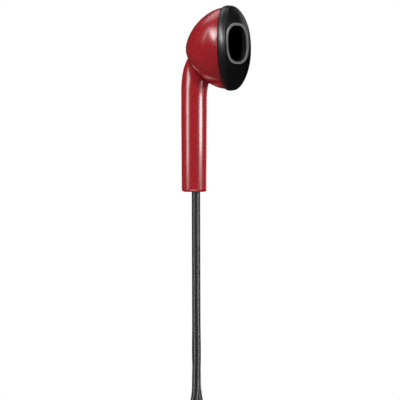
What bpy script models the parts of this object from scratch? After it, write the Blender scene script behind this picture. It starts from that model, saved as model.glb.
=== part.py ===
"""Wired earphones: a mirrored pair of earbuds on a Y-shaped cord, with a 3.5 mm plug.

Frame: metres, +Z up. The origin lies midway between the two drivers, in the plane of the
seams between the red and the black shells. +X is where the sound ports point, -Y is the
right ear's side. The pair hangs as it is worn, with the stems straight down.
"""

import math

import bmesh
import bpy
from mathutils import Matrix, Vector

MM = 0.001

# Place of the two earbuds
EAR_ROOM = 0.77 * MM          # from each bezel's widest place to the middle plane
HEAD_TURN = math.radians(9.7)  # each head faces a little outwards
HEAD_TILT = math.radians(2.1)  # and a little up

# Rear shell, an egg with its axis along the driver's
SEAM_RADIUS = 8.1 * MM
EGG_DEPTH = 7.82 * MM
EGG_POWER = 1.66
SHELL_WALL = 0.8 * MM
SEAM_GAP = 0.1 * MM
EDGE_ROUND = 0.06 * MM

# Front bezel
SEAM_STEP = 0.18 * MM         # the bezel stands proud of the rear shell
RING_RADIUS = SEAM_RADIUS + 0.43 * MM   # its widest place
RING_WIDEST = 0.95 * MM       # that far in front of the seam
BAND_WIDTH = 1.46 * MM        # from the seam to the crease
CREASE_RADIUS = SEAM_RADIUS + 0.37 * MM
EAR_OFFSET = RING_RADIUS + EAR_ROOM     # from the middle plane to each driver's axis
FACE_POWER = 2.09
BEZEL_WALL = 0.65 * MM

# Oval sound port, which faces outwards from the driver's axis
PORT_AHEAD = 3.45 * MM
PORT_ASIDE = 5.28 * MM
PORT_UP = 0.83 * MM
PORT_TURN = math.radians(36)
PORT_HALF_WIDTH = 2.65 * MM
PORT_HALF_HEIGHT = 3.62 * MM
PORT_POWER = 2.5
PORT_DEPTH = 1.3 * MM
RIM_WIDTH = 0.45 * MM
RIM_SEAT = 0.2 * MM
RIM_PROUD = 0.2 * MM

# Stem
STEM_X = -6.02 * MM
STEM_RADIUS = 2.62 * MM
STEM_FOOT = -28.62 * MM
STEM_TAPER = 0.1 * MM         # its radius is that much less at the foot
NECK_LOW = -9.9 * MM
# Sections of the neck, in millimetres: height, how far left and right of the stem's axis, half depth
NECK = ((-8.75, -2.62, 2.72, 2.64), (-7.65, -2.61, 2.86, 2.68), (-6.75, -2.56, 3.1, 2.66),
        (-5.85, -2.47, 3.4, 2.55), (-4.95, -2.34, 3.4, 2.3), (-4.15, -2.18, 3.3, 2.0),
        (-3.45, -1.97, 3.1, 1.65), (-2.75, -1.7, 2.8, 1.2), (-2.15, -1.4, 2.4, 0.7))
STEM_BORE = 1.8 * MM
BORE_TOP = -5.2 * MM
STEM_FLOOR = 1.0 * MM         # thickness of the closed end
NECK_GAP = 0.1 * MM
EGG_TOOL_TOP = 2 * MM         # of the cutter that leaves that gap, in front of the seam
LEAD_HOLE_X = -5.32 * MM      # the hole through neck and shell that the leads pass
LEAD_HOLE_RADIUS = 1.2 * MM
LEAD_HOLE_LOW = -7.5 * MM
LEAD_HOLE_TOP = -2.5 * MM

# Driver, seen from its own axis; heights are from the seam, along the axis
FIT_GAP = 0.1 * MM            # between pieces that are pressed or glued
COIL_GAP = 0.25 * MM          # each side of the voice coil
FRAME_TOP = 0.2 * MM
FRAME_DEPTH = 1.5 * MM
FRAME_LEDGE = 0.5 * MM
REAR_ROOM = 0.5 * MM          # between the basket and the rear shell
DOME_RADIUS = 4.3 * MM
DOME_SEAT = 0.0 * MM
DOME_HEIGHT = 0.45 * MM
ROLL_HEIGHT = 0.2 * MM
FILM = 0.15 * MM
COIL_RADIUS = 3.2 * MM        # to the middle of its winding
COIL_WALL = 0.3 * MM
COIL_LENGTH = 1.9 * MM
YOKE_TOP = -0.45 * MM
YOKE_WALL = 0.6 * MM
YOKE_DEPTH = 2.6 * MM
TOP_PLATE = 0.6 * MM
MAGNET_RADIUS = 2.55 * MM
FELT = 0.35 * MM
GRILLE = 0.2 * MM
GRILLE_TOP = 1.1 * MM
BOARD_SIZE = (3.6 * MM, 2.4 * MM, 0.6 * MM)
BOARD_EDGE = 0.1 * MM

# Cord
BRANCH_DIAMETER = 1.7 * MM
MAIN_DIAMETER = 2.0 * MM
CORD_X = -5.7 * MM            # where it leaves the stem
CORD_GAP = 0.3 * MM
BUSH_LENGTH = 3.0 * MM
CRIMP_TOP = -18.5 * MM
CRIMP_LENGTH = 3.0 * MM
CRIMP_TAPER = 0.6 * MM
CRIMP_GAP = 0.3 * MM          # to the stem's bore
LEAD_DIAMETER = 0.5 * MM
LEAD_SPREAD = 0.6 * MM        # of each lead from the stem's axis

# Hank, folded in line below the stems
HANK_X = -5.6 * MM
HANK_Z = -104.65 * MM
HANK_HALF_RUN = 18.0 * MM
HANK_OUTER = 13.4 * MM
HANK_INNER = 6.0 * MM
HANK_THICKNESS = 9.9 * MM
ENTRY_INSET = 1.5 * MM        # where a branch enters the hank, inside its edge
ENTRY_RISE = 7.9 * MM         # and above its straight part
TIE_RISE = 8.0 * MM           # the tie sits above the hank's middle
TIE_WIDTH = 6.0 * MM
TIE_WALL = 0.8 * MM
TIE_ROUND = 0.8 * MM

# Splitter, in the hank's hollow
SPLITTER_LENGTH = 16.0 * MM
SPLITTER_WIDTH = 6.4 * MM
SPLITTER_THICKNESS = 4.2 * MM
SPLITTER_SEAM = 0.1 * MM
SPLITTER_EDGE = 0.6 * MM

# Plug
PLUG_Y = -17.0 * MM
PLUG_TOP = -22.0 * MM         # of the strain relief, from the hank's middle
BOOT_LENGTH = 9.0 * MM
BOOT_WALL = 0.5 * MM
BOOT_FLARE = 0.6 * MM
PLUG_HOUSING_LENGTH = 14.0 * MM
PLUG_HOUSING_RADIUS = 2.9 * MM
PLUG_EDGE = 0.3 * MM
SOCKET_DEPTH = 0.6 * MM       # the jack stands in a shallow well of the housing
JACK_RADIUS = 1.75 * MM
JACK_LENGTH = 14.0 * MM
JACK_BAND = 0.7 * MM          # each insulating ring
JACK_RING = 2.0 * MM
JACK_TIP = 4.0 * MM

SHELL_SIDES = 36
DRIVER_SIDES = 24
LOFT_POINTS = 36

EARS = (("right", -1), ("left", 1))
UP = Vector((0, 0, 1))


# ---------------------------------------------------------------- scene and helpers

def clear_scene():
    for obj in list(bpy.data.objects):
        bpy.data.objects.remove(obj, do_unlink=True)


def new_collection(name, hidden=False):
    made = bpy.data.collections.new(name)
    made.hide_render = hidden
    bpy.context.scene.collection.children.link(made)
    return made


def material(name, colour, roughness, metallic=0.0):
    made = bpy.data.materials.new(name)
    made.use_nodes = True
    shader = made.node_tree.nodes["Principled BSDF"]
    shader.inputs["Base Color"].default_value = (*colour, 1.0)
    shader.inputs["Roughness"].default_value = roughness
    shader.inputs["Metallic"].default_value = metallic
    return made


def add(name, mesh, finish, parent=None, home=None):
    obj = bpy.data.objects.new(name, mesh)
    (home or parts).objects.link(obj)
    if finish:
        mesh.materials.append(finish)
    obj.parent = parent
    return obj


def smooth(mesh):
    mesh.shade_smooth()
    mesh.set_sharp_from_angle(angle=math.radians(35))


def turned(name, profile, finish, parent=None, sides=DRIVER_SIDES, closed=True, home=None):
    """A profile of (radius, height) turned round the local Z axis, down its outer side first."""
    count = len(profile)
    edges = [(i, (i + 1) % count) for i in range(count if closed else count - 1)]
    mesh = bpy.data.meshes.new(name)
    mesh.from_pydata([(r, 0, h) for r, h in profile], edges, [])
    obj = add(name, mesh, finish, parent, home)
    screw = obj.modifiers.new("Turn", "SCREW")
    screw.steps = screw.render_steps = sides
    screw.use_merge_vertices = True
    screw.merge_threshold = 0.000001
    screw.use_smooth_shade = True
    return obj


def lofted(name, rings, finish, parent=None, capped=False, home=None):
    """A skin through rings of equal count. Without caps the last ring joins the first."""
    count = len(rings[0])
    bm = bmesh.new()
    rows = [[bm.verts.new(point) for point in ring] for ring in rings]
    pairs = list(zip(rows, rows[1:]))
    if not capped:
        pairs.append((rows[-1], rows[0]))
    for a, b in pairs:
        for i in range(count):
            j = (i + 1) % count
            bm.faces.new((a[i], a[j], b[j], b[i]))
    if capped:
        bm.faces.new(rows[0])
        bm.faces.new(rows[-1])
    bmesh.ops.recalc_face_normals(bm, faces=bm.faces)
    mesh = bpy.data.meshes.new(name)
    bm.to_mesh(mesh)
    bm.free()
    smooth(mesh)
    return add(name, mesh, finish, parent, home)


def rounded_box(name, size, centre, radius, finish, parent=None):
    bm = bmesh.new()
    bmesh.ops.create_cube(bm, size=1, matrix=Matrix.Diagonal((*size, 1)))
    mesh = bpy.data.meshes.new(name)
    bm.to_mesh(mesh)
    bm.free()
    obj = add(name, mesh, finish, parent)
    obj.location = centre
    bevel = obj.modifiers.new("Round", "BEVEL")
    bevel.width = radius
    bevel.segments = 2
    return obj


def cylinder_cutter(name, radius, low, high, centre, parent=None, sides=DRIVER_SIDES):
    profile = [(0, high), (radius, high), (radius, low), (0, low)]
    cutter = turned(name, profile, None, parent, sides, closed=False, home=cutters)
    cutter.location = centre
    return hide(cutter)


def hide(cutter):
    cutter.hide_render = True
    cutter.display_type = "WIRE"
    return cutter


def cut(obj, *tools):
    for tool in tools:
        boolean = obj.modifiers.new("Cut", "BOOLEAN")
        boolean.object = tool
        boolean.operation = "DIFFERENCE"
    return obj


def through(points, spacing):
    """Points about this far apart on a smooth curve through the given ones."""
    route = [Vector(p) for p in points]
    route = [2 * route[0] - route[1], *route, 2 * route[-1] - route[-2]]
    out = [route[1].copy()]
    for a, b, c, d in zip(route, route[1:], route[2:], route[3:]):
        steps = max(1, round((c - b).length / spacing))
        for k in range(1, steps + 1):
            t = k / steps
            out.append(0.5 * (2 * b + (c - a) * t + (2 * a - 5 * b + 4 * c - d) * t ** 2
                              + (3 * b - a - 3 * c + d) * t ** 3))
    return out


def tube(name, points, diameter, finish, spacing=2.4):
    curve = bpy.data.curves.new(name, "CURVE")
    curve.dimensions = "3D"
    curve.bevel_depth = diameter / 2
    curve.bevel_resolution = 2
    curve.use_fill_caps = True
    route = through(points, diameter * spacing)
    spline = curve.splines.new("POLY")
    spline.points.add(len(route) - 1)
    for target, point in zip(spline.points, route):
        target.co = (*point, 1)
    curve.materials.append(finish)
    obj = bpy.data.objects.new(name, curve)
    parts.objects.link(obj)
    return obj


def stadium(half_run, radius, sides=12):
    """Outline of a hank: two half circles, that far from the middle, and the straight runs between them."""
    outline = []
    for end in (1, -1):
        for k in range(sides + 1):
            angle = math.pi * k / sides
            outline.append((end * radius * math.cos(angle), end * (half_run + radius * math.sin(angle))))
    return outline


# ---------------------------------------------------------------- the egg and the bezel

def egg_radius(depth, radius=SEAM_RADIUS, length=EGG_DEPTH):
    return radius * (1 - (depth / length) ** EGG_POWER) ** (1 / EGG_POWER)


def egg_profile(radius, length, steps):
    """From the seam back to the pole, closer together where the egg rounds off."""
    points = []
    for k in range(steps):
        share = math.sin(math.pi / 2 * k / steps)
        points.append((egg_radius(length * share, radius, length), -length * share))
    return points + [(0, -length)]


def rear_shell(ear, head):
    outer = egg_profile(SEAM_RADIUS, EGG_DEPTH, 10)
    inner = egg_profile(SEAM_RADIUS - SHELL_WALL, EGG_DEPTH - SHELL_WALL, 8)
    profile = [(radius, min(height, -SEAM_GAP)) for radius, height in inner[::-1] + outer]
    return turned(f"{ear}_rear_shell", profile, red, head, SHELL_SIDES, closed=False)


def ring(radius, height):
    turns = [2 * math.pi * k / LOFT_POINTS for k in range(LOFT_POINTS)]
    return [Vector((radius * math.cos(t), radius * math.sin(t), height)) for t in turns]


def port_axes(side):
    """Centre of the port, its outward normal, and its own sideways direction, in the head's frame."""
    centre = Vector((side * PORT_ASIDE, PORT_UP, PORT_AHEAD))
    normal = Vector((side * math.sin(PORT_TURN), 0, math.cos(PORT_TURN)))
    across = Vector((math.cos(PORT_TURN), 0, -side * math.sin(PORT_TURN)))
    return centre, normal, across


def oval(side, grow, depth):
    """The port's outline, grown all round, that deep along the port; depth may be a function of height."""
    centre, normal, across = port_axes(side)
    points = []
    for k in range(LOFT_POINTS):
        t = 2 * math.pi * k / LOFT_POINTS
        c, s = math.cos(t), math.sin(t)
        x = math.copysign(abs(c) ** (2 / PORT_POWER), c) * (PORT_HALF_WIDTH + grow)
        y = math.copysign(abs(s) ** (2 / PORT_POWER), s) * (PORT_HALF_HEIGHT + grow)
        point = centre + across * x + Vector((0, y, 0))
        points.append(point - normal * (depth(point) if callable(depth) else depth))
    return points


def swelling(base, end, steps, power=FACE_POWER):
    """Rings between two others that rise first and close in later, like the front of the bezel."""
    rings = []
    for k in range(1, steps):
        angle = math.pi / 2 * k / steps
        rise = math.sin(angle) ** (2 / power)
        close = 1 - math.cos(angle) ** (2 / power)
        share = Vector((close, close, rise))
        rings.append([a + (b - a) * share for a, b in zip(base, end)])
    return rings


def front_bezel(ear, side, head):
    floor = GRILLE_TOP + FIT_GAP
    inner = SEAM_RADIUS - BEZEL_WALL
    edge = SEAM_RADIUS + SEAM_STEP

    def port_depth(point):
        return min(PORT_DEPTH, (point.z - floor) / math.cos(PORT_TURN))

    crease = ring(CREASE_RADIUS, BAND_WIDTH)
    lip = oval(side, RIM_WIDTH + FIT_GAP, 0)
    bore = ring(inner, floor)
    mouth = oval(side, 0, port_depth)
    rings = [ring(edge - EDGE_ROUND, 0), ring(edge, EDGE_ROUND),
             ring(edge + (RING_RADIUS - edge) * 0.75, RING_WIDEST / 2), ring(RING_RADIUS, RING_WIDEST),
             crease, *swelling(crease, lip, 7), lip,
             oval(side, RIM_WIDTH + FIT_GAP, RIM_SEAT), oval(side, 0, RIM_SEAT),
             mouth, *reversed(swelling(bore, mouth, 4)), bore, ring(inner, 0)]
    return lofted(f"{ear}_front_bezel", rings, black, head)


def port_rim(ear, side, head):
    edge = RIM_WIDTH / 5
    rings = [oval(side, RIM_WIDTH, RIM_SEAT - FIT_GAP), oval(side, RIM_WIDTH, edge - RIM_PROUD),
             oval(side, RIM_WIDTH - edge, -RIM_PROUD), oval(side, edge, -RIM_PROUD),
             oval(side, 0, edge - RIM_PROUD), oval(side, 0, RIM_SEAT - FIT_GAP)]
    return lofted(f"{ear}_port_rim", rings, rim_grey, head)


# ---------------------------------------------------------------- the driver

def driver(ear, head):
    front_radius = SEAM_RADIUS - BEZEL_WALL - FIT_GAP
    rear_radius = SEAM_RADIUS - SHELL_WALL - REAR_ROOM
    coil_inner = COIL_RADIUS - COIL_WALL / 2
    coil_outer = COIL_RADIUS + COIL_WALL / 2
    yoke_inner = coil_outer + COIL_GAP
    yoke_outer = yoke_inner + YOKE_WALL
    yoke_bottom = YOKE_TOP - YOKE_DEPTH
    seat = yoke_outer + FIT_GAP
    surround_in = DOME_RADIUS + COIL_GAP
    frame_low = -FRAME_DEPTH

    # A flange in the bezel's bore, and a smaller basket behind the seam
    turned(f"{ear}_driver_frame",
           [(front_radius, FRAME_TOP), (front_radius, 0), (rear_radius, -FIT_GAP), (rear_radius, frame_low),
            (seat, frame_low), (seat, YOKE_TOP), (surround_in + FRAME_LEDGE, FRAME_TOP)],
           frame_plastic, head)

    turned(f"{ear}_yoke",
           [(0, yoke_bottom + YOKE_WALL), (yoke_inner, yoke_bottom + YOKE_WALL), (yoke_inner, YOKE_TOP),
            (yoke_outer, YOKE_TOP), (yoke_outer, yoke_bottom), (0, yoke_bottom)], steel, head, closed=False)
    plate_low = YOKE_TOP - TOP_PLATE
    magnet_low = yoke_bottom + YOKE_WALL + FIT_GAP
    disc(f"{ear}_magnet", MAGNET_RADIUS, magnet_low, plate_low - FIT_GAP, magnet_grey, head)
    disc(f"{ear}_top_plate", coil_inner - COIL_GAP, plate_low, YOKE_TOP, steel, head)

    low = FRAME_TOP + FIT_GAP
    roll = [(front_radius, low)]
    for k in range(5):
        share = k / 4
        radius = front_radius - FRAME_LEDGE - (front_radius - FRAME_LEDGE - surround_in) * share
        roll.append((radius, low + ROLL_HEIGHT * math.sin(math.pi * share)))
    upper = [(radius, height + FILM) for radius, height in roll]
    turned(f"{ear}_surround", upper[:1] + roll + upper[:0:-1], film_clear, head)

    felt_top = frame_low - FIT_GAP
    turned(f"{ear}_damping_felt",
           [(rear_radius - FELT, felt_top), (rear_radius - FELT, felt_top - FELT), (seat, felt_top - FELT),
            (seat, felt_top)], felt_black, head)

    skirt_low = low + FILM + FIT_GAP
    skirt_in, under = front_radius - GRILLE, GRILLE_TOP - GRILLE
    turned(f"{ear}_front_grille",
           [(0, GRILLE_TOP), (front_radius, GRILLE_TOP), (front_radius, skirt_low), (skirt_in, skirt_low),
            (skirt_in, under), (0, under)], mesh_grey, head, closed=False)

    rounded_box(f"{ear}_terminal_board", BOARD_SIZE, (0, 0, yoke_bottom - FIT_GAP - BOARD_SIZE[2] / 2),
                BOARD_EDGE, board_green, head)
    diaphragm(ear, head)


def disc(name, radius, low, high, finish, parent=None):
    return turned(name, [(0, high), (radius, high), (radius, low), (0, low)], finish, parent, closed=False)


def diaphragm(ear, head):
    """The dome and its voice coil, which move together along the driver's axis."""
    mover = bpy.data.objects.new(f"{ear}_diaphragm_axis", None)
    parts.objects.link(mover)
    mover.parent = head
    arc = []
    for k in range(5):
        share = k / 4
        arc.append((DOME_RADIUS * share, DOME_SEAT + DOME_HEIGHT * (1 - share ** 2)))
    turned(f"{ear}_dome", [(radius, height + FILM) for radius, height in arc] + arc[::-1], film_gold, mover,
           closed=False)
    inner, outer = COIL_RADIUS - COIL_WALL / 2, COIL_RADIUS + COIL_WALL / 2
    top = DOME_SEAT + DOME_HEIGHT * (1 - (outer / DOME_RADIUS) ** 2) - FIT_GAP
    low = top - COIL_LENGTH
    turned(f"{ear}_voice_coil", [(outer, top), (outer, low), (inner, low), (inner, top)], copper, mover)


# ---------------------------------------------------------------- the stem

def stem_ring(height, left, right, half_depth):
    """One level of the stem: its outline's left and right from the stem's axis, and half its depth."""
    middle, half = (left + right) / 2, (right - left) / 2
    turns = [2 * math.pi * k / LOFT_POINTS for k in range(LOFT_POINTS)]
    return [Vector((middle + half * math.cos(t), half_depth * math.sin(t), height)) for t in turns]


def stem(ear, egg_tool, body):
    r, foot = STEM_RADIUS, STEM_FOOT
    levels = []
    for rise, inset in ((0, 0.9), (0.12, 0.36), (0.3, 0.1), (0.6, 0)):
        half = r - STEM_TAPER - inset * MM
        levels.append((foot + rise * MM, -half, half + STEM_TAPER / 2, half))
    levels.append((NECK_LOW, -r, r, r))
    # The neck leans towards the head, flares under it and closes behind it
    for height, left, right, depth in NECK:
        levels.append((height * MM, left * MM, right * MM, depth * MM))
    made = lofted(f"{ear}_stem", [stem_ring(*level) for level in levels], red, body, capped=True)
    made.location = (STEM_X, 0, 0)
    bore = cylinder_cutter(f"{ear}_stem_bore", STEM_BORE, foot + STEM_FLOOR, BORE_TOP, (STEM_X, 0, 0), body)
    clear = BRANCH_DIAMETER / 2 + 2 * FIT_GAP
    hole = cylinder_cutter(f"{ear}_cord_hole", clear, foot - MM, foot + 2 * STEM_FLOOR, (CORD_X, 0, 0), body)
    return cut(made, egg_tool, bore, hole)


def stem_contents(ear, body, stem_y):
    low = STEM_FOOT + STEM_FLOOR + FIT_GAP
    high = low + BUSH_LENGTH
    bush = disc(f"{ear}_cord_bush", STEM_BORE - FIT_GAP, low, high, rubber, body)
    bush.location = (STEM_X, 0, 0)
    bore = cylinder_cutter(f"{ear}_bush_bore", BRANCH_DIAMETER / 2 + FIT_GAP, low - MM, high + MM,
                           (CORD_X, 0, 0), body)
    cut(bush, bore)
    radius, neck = STEM_BORE - CRIMP_GAP, STEM_BORE - 2 * CRIMP_TAPER
    low, high = CRIMP_TOP - CRIMP_LENGTH, CRIMP_TOP
    crimp = turned(f"{ear}_cord_crimp",
                   [(0, high), (neck, high), (radius, high - CRIMP_TAPER), (radius, low + CRIMP_TAPER),
                    (neck, low), (0, low)], steel, body, closed=False)
    crimp.location = (STEM_X, 0, 0)
    for name, shift, colour in (("signal", -1, copper), ("ground", 1, lacquer_red)):
        route = [(0, CRIMP_TOP / MM + 0.3), (0.05, -14.0), (0.2, -9.5), (0.55, -6.5), (0.95, -4.2),
                 (1.45, -2.6), (1.82, -1.3), (1.88, -0.2)]
        points = [(STEM_X + x * MM, stem_y + shift * LEAD_SPREAD, z * MM) for x, z in route]
        tube(f"{ear}_{name}_lead", points, LEAD_DIAMETER, colour, spacing=4)


# ---------------------------------------------------------------- one earbud

def head_frame(side, y):
    """World matrix of a head: +Z along the driver's axis to the front, +Y up, +X to the left side."""
    level = math.cos(HEAD_TILT)
    ahead = Vector((math.cos(HEAD_TURN) * level, side * math.sin(HEAD_TURN) * level, math.sin(HEAD_TILT)))
    aside = UP.cross(ahead).normalized()
    up = ahead.cross(aside)
    frame = Matrix((aside, up, ahead)).transposed().to_4x4()
    frame.translation = (0, y, 0)
    return frame


def earbud(ear, side):
    y = side * EAR_OFFSET
    head = bpy.data.objects.new(f"{ear}_head_axis", None)
    parts.objects.link(head)
    head.matrix_world = head_frame(side, y)
    # The stem stands in the plane of the head's own axis
    stem_y = y + side * math.tan(HEAD_TURN) * STEM_X
    body = bpy.data.objects.new(f"{ear}_stem_axis", None)
    parts.objects.link(body)
    body.location = (0, stem_y, 0)

    wide = SEAM_RADIUS + NECK_GAP
    profile = [(0, EGG_TOOL_TOP), (wide, EGG_TOOL_TOP)] + egg_profile(wide, EGG_DEPTH + NECK_GAP, 10)
    egg_tool = hide(turned(f"{ear}_egg_tool", profile, None, head, SHELL_SIDES, closed=False, home=cutters))
    lead_hole = cylinder_cutter(f"{ear}_lead_hole", LEAD_HOLE_RADIUS, LEAD_HOLE_LOW, LEAD_HOLE_TOP,
                                (LEAD_HOLE_X, 0, 0), body, 16)

    cut(rear_shell(ear, head), lead_hole)
    front_bezel(ear, side, head)
    port_rim(ear, side, head)
    driver(ear, head)
    cut(stem(ear, egg_tool, body), lead_hole)
    stem_contents(ear, body, stem_y)
    return stem_y


# ---------------------------------------------------------------- cords, hank, splitter and plug

def branch_cord(ear, side, stem_y):
    """From its crimp, down through the bush and out, to where it enters the hank."""
    plane = HANK_X + side * (HANK_THICKNESS - BRANCH_DIAMETER) / 2
    entry_y = side * (HANK_OUTER - ENTRY_INSET)
    entry_z = HANK_Z + HANK_HALF_RUN + ENTRY_RISE
    top = (CORD_X, stem_y, CRIMP_TOP - CRIMP_LENGTH - CORD_GAP)
    route = [(0, 0, -27), (0, 0, -34), (0.04, 0, -44), (0.07, 0.6, -54), (0.1, 1.7, -64)]
    middle = [(CORD_X + x * MM, stem_y + side * y * MM, z * MM) for x, y, z in route]
    end = [(HANK_X + side * 0.5 * MM, entry_y - side * 0.7 * MM, -71 * MM),
           (plane - side * 0.4 * MM, entry_y, entry_z)]
    tube(f"{ear}_branch_cord", [top] + middle + end, BRANCH_DIAMETER, cord_black)


def branch_tail(ear, side):
    """Inside the hank's hollow: over and down into the splitter."""
    plane = side * (HANK_THICKNESS - BRANCH_DIAMETER) / 2
    end = side * BRANCH_DIAMETER * 0.56
    top = SPLITTER_LENGTH / 2 + CORD_GAP
    route = [(1, 5.65, 12.7), (0.97, 4.6, 13.4), (0.85, 3.2, 13.6), (0.6, 1.5, 12.8), (0.35, 0.4, 11.2)]
    points = [(HANK_X + plane * share, -side * y * MM, HANK_Z + z * MM) for share, y, z in route]
    tube(f"{ear}_branch_tail", points + [(HANK_X + end, 0, HANK_Z + top)], BRANCH_DIAMETER, cord_black)


def main_cord():
    exit_z = -SPLITTER_LENGTH / 2 - CORD_GAP
    start = [(0, 0, exit_z / MM), (0, 0.2, -10.0), (-0.2, 1.2, -12.2), (-0.5, 3.0, -13.6),
             (-0.9, 4.4, -14.0), (-1.1, 5.6, -14.0)]
    points = [(HANK_X + x * MM, y * MM, HANK_Z + z * MM) for x, y, z in start]
    tube("main_cord_start", points, MAIN_DIAMETER, cord_black)
    end = [(2.0, -14.8, -9.0), (1.5, -15.5, -12.5), (0.7, -16.5, -16.5), (0.1, -16.95, -19.5)]
    points = [(HANK_X + x * MM, y * MM, HANK_Z + z * MM) for x, y, z in end]
    points.append((HANK_X, PLUG_Y, HANK_Z + PLUG_TOP + CORD_GAP))
    tube("main_cord_end", points, MAIN_DIAMETER, cord_black)


def hank():
    """The wound length of all three cords, as one ring of its outer shape."""
    outline("cord_hank", [stadium(HANK_HALF_RUN, HANK_OUTER), stadium(HANK_HALF_RUN, HANK_INNER)],
            HANK_THICKNESS, cord_black, (HANK_X, 0, HANK_Z), upright=True)
    wide, thick = HANK_OUTER + CORD_GAP, HANK_THICKNESS / 2 + CORD_GAP
    inner = rounded_rectangle(thick, wide, TIE_ROUND)
    outer = rounded_rectangle(thick + TIE_WALL, wide + TIE_WALL, TIE_ROUND + TIE_WALL)
    outline("hank_tie", [outer, inner], TIE_WIDTH, tie_black, (HANK_X, 0, HANK_Z + TIE_RISE), upright=False)


def rounded_rectangle(half_x, half_y, radius, steps=4):
    corners = []
    for quarter, (sx, sy) in enumerate(((1, 1), (-1, 1), (-1, -1), (1, -1))):
        for k in range(steps + 1):
            angle = math.pi / 2 * (quarter + k / steps)
            corners.append((sx * (half_x - radius) + radius * math.cos(angle),
                            sy * (half_y - radius) + radius * math.sin(angle)))
    return corners


def outline(name, loops, thickness, finish, place, upright):
    """A flat outline with its holes, given this thickness; upright, it stands in the plane of Y and Z."""
    curve = bpy.data.curves.new(name, "CURVE")
    curve.dimensions = "2D"
    curve.fill_mode = "BOTH"
    curve.extrude = thickness / 2
    for loop in loops:
        spline = curve.splines.new("POLY")
        spline.points.add(len(loop) - 1)
        spline.use_cyclic_u = True
        for target, (x, y) in zip(spline.points, loop):
            target.co = (x, y, 0, 1)
    curve.materials.append(finish)
    obj = bpy.data.objects.new(name, curve)
    parts.objects.link(obj)
    obj.location = place
    if upright:
        obj.rotation_euler = (math.pi / 2, 0, math.pi / 2)
    return obj


def splitter():
    half = (SPLITTER_THICKNESS - SPLITTER_SEAM) / 2
    for name, end in (("front", 1), ("back", -1)):
        rounded_box(f"splitter_{name}", (half, SPLITTER_WIDTH, SPLITTER_LENGTH),
                    (HANK_X + end * (half + SPLITTER_SEAM) / 2, 0, HANK_Z), SPLITTER_EDGE, housing_black)


def plug():
    place = (HANK_X, PLUG_Y, 0)
    top = HANK_Z + PLUG_TOP
    neck = MAIN_DIAMETER / 2 + BOOT_WALL
    boot_low = top - BOOT_LENGTH
    boot = turned("plug_boot",
                  [(0, top), (neck - PLUG_EDGE, top), (neck, top - PLUG_EDGE), (neck + BOOT_FLARE, boot_low),
                   (0, boot_low)], rubber, closed=False)
    wide = PLUG_HOUSING_RADIUS
    housing_top = boot_low - FIT_GAP
    shoulder = housing_top - PLUG_HOUSING_LENGTH
    socket = shoulder + SOCKET_DEPTH
    well = JACK_RADIUS + CORD_GAP
    housing = turned("plug_housing",
                     [(0, housing_top), (wide - BOOT_FLARE, housing_top),
                      (wide, housing_top - 2 * BOOT_FLARE), (wide, shoulder + PLUG_EDGE),
                      (wide - PLUG_EDGE, shoulder), (well, shoulder), (well, socket), (0, socket)],
                     housing_black, closed=False)

    # The jack, from its free end up
    end = shoulder - JACK_LENGTH
    tip_top = end + JACK_TIP
    ring_low = tip_top + JACK_BAND
    ring_high = ring_low + JACK_RING
    core = JACK_RADIUS - FIT_GAP
    sleeve_low = ring_high + JACK_BAND + FIT_GAP
    sleeve = disc("plug_sleeve", JACK_RADIUS, sleeve_low, socket - FIT_GAP, gold)
    ring_insulator = disc("plug_ring_insulator", core, ring_high + FIT_GAP, ring_high + JACK_BAND, rubber)
    contact = disc("plug_ring", JACK_RADIUS, ring_low + FIT_GAP, ring_high, gold)
    tip_insulator = disc("plug_tip_insulator", core, tip_top + FIT_GAP, ring_low, rubber)
    tip = turned("plug_tip",
                 [(0, tip_top), (JACK_RADIUS, tip_top), (JACK_RADIUS, tip_top - 0.4 * MM),
                  (JACK_RADIUS * 0.72, tip_top - 1.3 * MM), (JACK_RADIUS * 0.95, tip_top - 2.4 * MM),
                  (0.5 * MM, end + 0.3 * MM), (0.3 * MM, end), (0, end)], gold, closed=False)
    for piece in (boot, housing, sleeve, ring_insulator, contact, tip_insulator, tip):
        piece.location = place


clear_scene()
parts = new_collection("wired_earphones")
cutters = new_collection("cutters", hidden=True)

red = material("red_gloss_plastic", (0.36, 0.018, 0.022), 0.16)
black = material("black_satin_plastic", (0.02, 0.02, 0.021), 0.32)
rim_grey = material("rim_grey", (0.24, 0.24, 0.25), 0.35)
mesh_grey = material("grille_mesh", (0.05, 0.05, 0.052), 0.6, 0.4)
frame_plastic = material("frame_plastic", (0.06, 0.06, 0.065), 0.5)
steel = material("plated_steel", (0.55, 0.55, 0.56), 0.35, 1.0)
magnet_grey = material("nickel_magnet", (0.42, 0.41, 0.4), 0.3, 1.0)
film_clear = material("surround_film", (0.6, 0.58, 0.5), 0.3)
film_gold = material("diaphragm_film", (0.62, 0.5, 0.28), 0.25)
felt_black = material("felt", (0.03, 0.03, 0.03), 0.95)
board_green = material("circuit_board", (0.02, 0.13, 0.05), 0.45)
copper = material("copper", (0.7, 0.32, 0.18), 0.35, 1.0)
lacquer_red = material("lead_lacquer", (0.45, 0.03, 0.03), 0.4)
rubber = material("black_rubber", (0.018, 0.018, 0.018), 0.65)
cord_black = material("cord_jacket", (0.012, 0.012, 0.012), 0.45)
tie_black = material("tie_strap", (0.02, 0.02, 0.022), 0.9)
housing_black = material("plug_plastic", (0.014, 0.014, 0.015), 0.4)
gold = material("gold_plate", (0.83, 0.62, 0.28), 0.2, 1.0)

for ear_name, ear_side in EARS:
    level = earbud(ear_name, ear_side)
    branch_cord(ear_name, ear_side, level)
    branch_tail(ear_name, ear_side)
main_cord()
hank()
splitter()
plug()
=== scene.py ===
import math

import bmesh
import bpy
from mathutils import Matrix, Vector


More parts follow.
